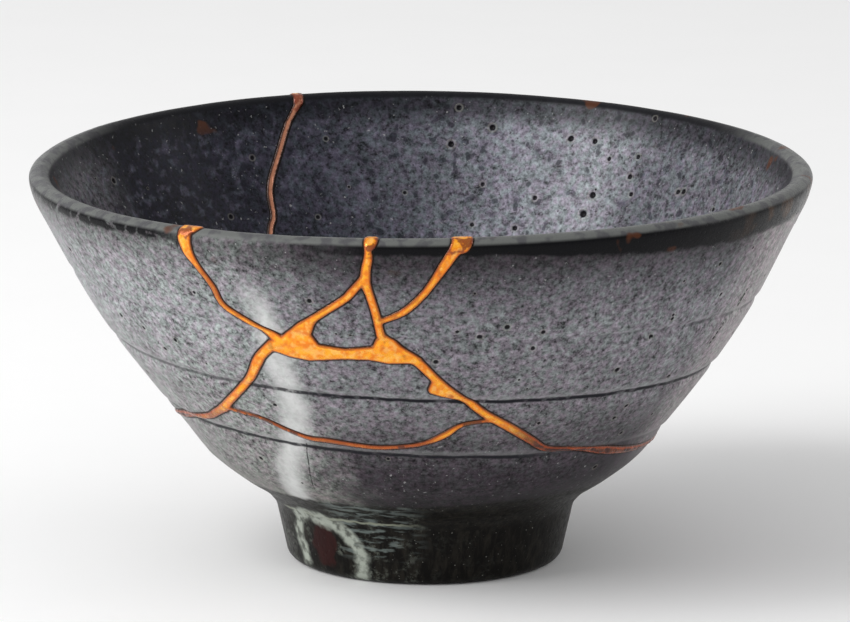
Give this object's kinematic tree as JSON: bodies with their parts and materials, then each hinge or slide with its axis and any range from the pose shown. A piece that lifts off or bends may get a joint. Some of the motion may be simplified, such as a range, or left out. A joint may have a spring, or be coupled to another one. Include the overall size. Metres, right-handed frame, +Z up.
{
  "type": "kintsugi tea bowl",
  "caption": "Open stoneware bowl on a narrow turned foot, broken into sherds and rejoined with raised gold seams.",
  "frame": {"origin": "on the standing surface, under the centre of the rim", "axes": "+Z up through the mouth, the front with the seams towards -Y, +X to the viewer's right"},
  "size_m": [0.15, 0.15, 0.0776],
  "materials": {
    "grey_glaze": "satin mottled blue-grey glaze with fine speckle, a brown-black iron rim and small pinholes",
    "foot_glaze": "grey glaze on the wall, glossy brown-black glaze with pale runs on the foot",
    "gold": "gold powder on red-brown lacquer, satin, with dark lacquer edges"
  },
  "bodies": {
    "root": {"left_wall_sherd": "grey_glaze", "front_rim_sherd": "grey_glaze", "island_chip": "grey_glaze", "notch_rim_sherd": "grey_glaze", "right_wall_sherd": "grey_glaze", "lens_sherd": "grey_glaze", "foot_sherd": "foot_glaze", "gold_seam": "gold"}
  },
  "joints": []
}
